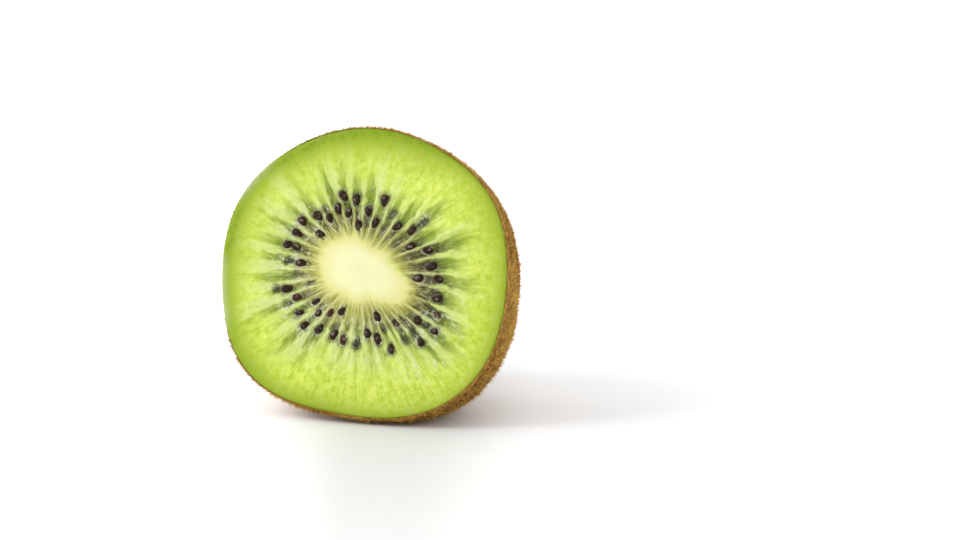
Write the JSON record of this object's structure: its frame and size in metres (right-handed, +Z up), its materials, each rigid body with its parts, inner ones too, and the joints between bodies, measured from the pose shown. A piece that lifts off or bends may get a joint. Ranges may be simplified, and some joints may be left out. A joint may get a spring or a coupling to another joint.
{
  "type": "kiwi fruit half",
  "caption": "Half of a kiwi fruit cut across, standing with its green face and dark seeds forward and its fuzzy brown skin behind.",
  "frame": {"origin": "on the surface it rests on, under the middle of the fruit", "axes": "+Z up, the cut face looks towards -Y and leans back, +X runs to the right along the face"},
  "size_m": [0.0536, 0.0394, 0.0496],
  "materials": {
    "kiwi_flesh": "moist green flesh with a pale core",
    "kiwi_skin": "dull brown skin covered in short stiff hairs",
    "kiwi_seed": "glossy, nearly black seed"
  },
  "bodies": {
    "root": {"kiwi_half": "kiwi_flesh"}
  },
  "joints": []
}
